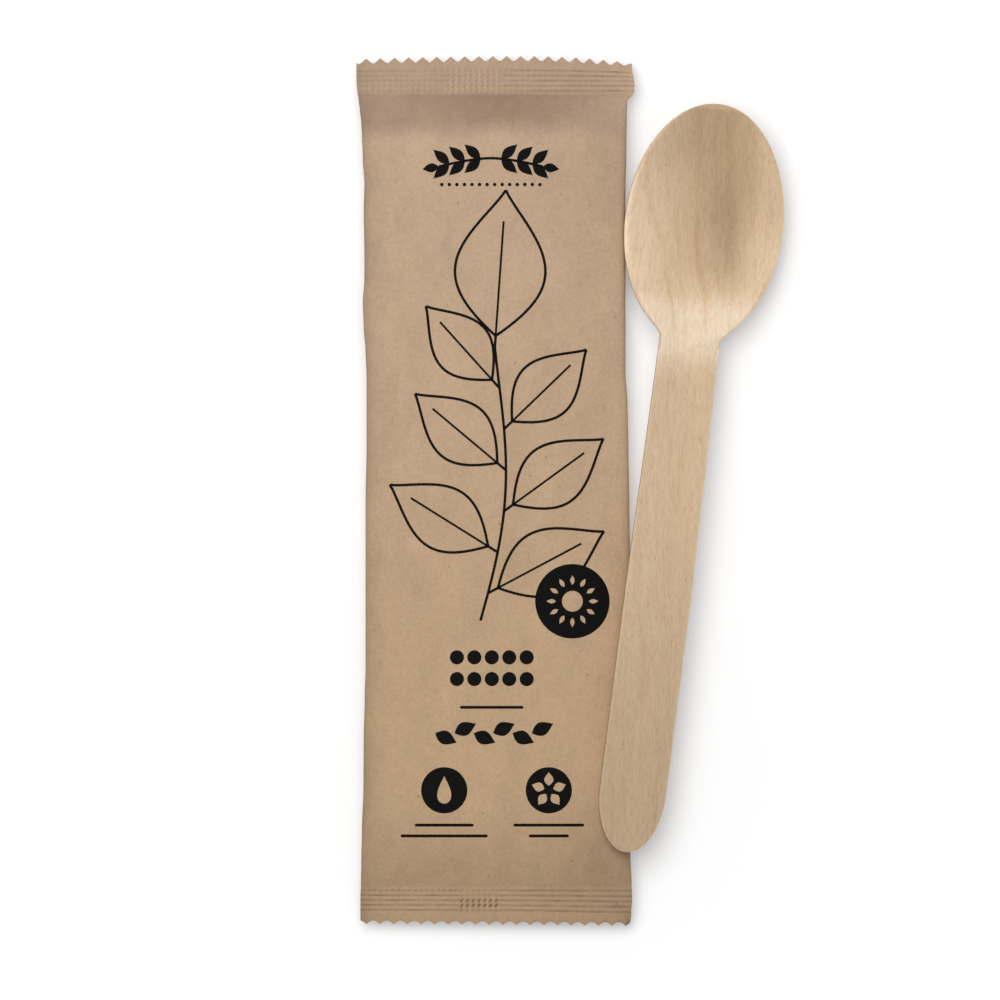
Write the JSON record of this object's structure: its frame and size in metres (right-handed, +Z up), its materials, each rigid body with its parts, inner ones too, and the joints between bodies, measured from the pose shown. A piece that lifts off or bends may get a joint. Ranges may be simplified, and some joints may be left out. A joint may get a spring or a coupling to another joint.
{
  "type": "pack of wooden spoons",
  "caption": "Sealed kraft paper pack of disposable wooden spoons with toothed, crimped ends, lying on its back, and a loose spoon from the set leaning on its edge.",
  "frame": {"origin": "middle of the pack's back, on the flat outer face of its folded-down fin seam, in the plane of the surface that it lies on", "axes": "+Y along the pack towards the end where the loose spoon's bowl lies, +X towards the loose spoon, +Z up out of the pack's printed front"},
  "size_m": [0.0902, 0.1851, 0.0103],
  "materials": {
    "kraft_paper": "uncoated brown kraft, matt",
    "birch_veneer": "bare tumbled birch veneer, matt"
  },
  "bodies": {
    "root": {"paper_pack": "kraft_paper", "loose_spoon": "birch_veneer"}
  },
  "joints": []
}
